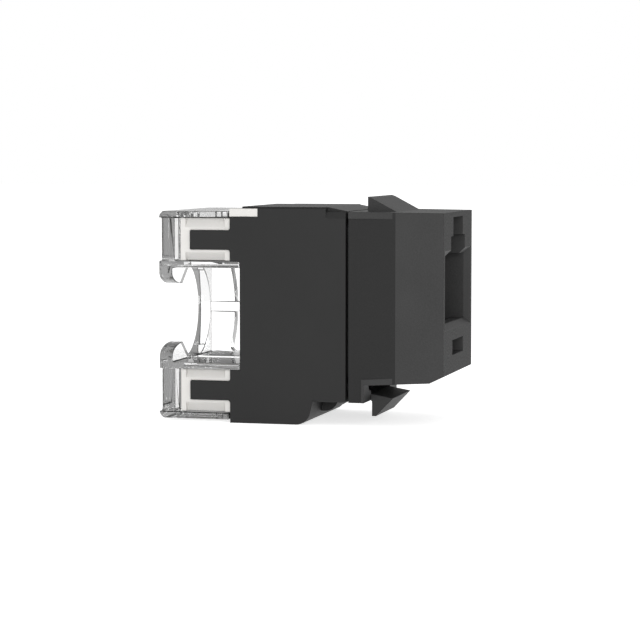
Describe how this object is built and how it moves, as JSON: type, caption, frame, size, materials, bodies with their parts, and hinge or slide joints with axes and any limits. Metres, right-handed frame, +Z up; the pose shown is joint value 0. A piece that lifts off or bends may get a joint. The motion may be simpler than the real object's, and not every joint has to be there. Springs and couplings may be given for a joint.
{
  "type": "keystone jack",
  "caption": "Snap-in keystone jack with a modular plug socket, black housings, ivory wire blocks and a clear side-entry wire cap.",
  "frame": {"origin": "on the plug's axis, in the plane of the plug face", "axes": "+X out of the plug face, +Z up, on the side of the fixed catch"},
  "size_m": [0.0293, 0.015, 0.0228],
  "materials": {
    "black_plastic": "moulded satin, spark-eroded on the plug face",
    "clear_plastic": "clear polished",
    "ivory_plastic": "moulded satin",
    "black_insert": "moulded satin",
    "board": "solder mask",
    "gold_plate": "plated",
    "tin_plate": "plated satin"
  },
  "bodies": {
    "housing": {"front_housing": "black_plastic", "rear_housing": "black_plastic", "terminal_plate": "black_plastic", "idc_block_upper": "ivory_plastic", "idc_block_lower": "ivory_plastic", "contact_carrier": "black_insert", "circuit_board": "board", "plug_contact_1": "gold_plate", "plug_contact_2": "gold_plate", "plug_contact_3": "gold_plate", "plug_contact_4": "gold_plate", "plug_contact_5": "gold_plate", "plug_contact_6": "gold_plate", "plug_contact_7": "gold_plate", "plug_contact_8": "gold_plate", "idc_terminal_1": "tin_plate", "idc_terminal_2": "tin_plate", "idc_terminal_3": "tin_plate", "idc_terminal_4": "tin_plate", "idc_terminal_5": "tin_plate", "idc_terminal_6": "tin_plate", "idc_terminal_7": "tin_plate", "idc_terminal_8": "tin_plate"},
    "latch": {"panel_latch": "black_plastic"},
    "cap": {"wire_cap": "clear_plastic"}
  },
  "joints": [
    {"name": "latch_flex", "type": "hinge", "parent": "housing", "child": "latch", "pos_m": [-0.0113, 0, -0.01086], "axis": [0, -1, 0], "range_deg": [0, 16], "stiffness_Nm_per_rad": 0.05},
    {"name": "cap_slide", "type": "slide", "parent": "housing", "child": "cap", "axis": [-1, 0, 0], "range_m": [0, 0.009]}
  ]
}
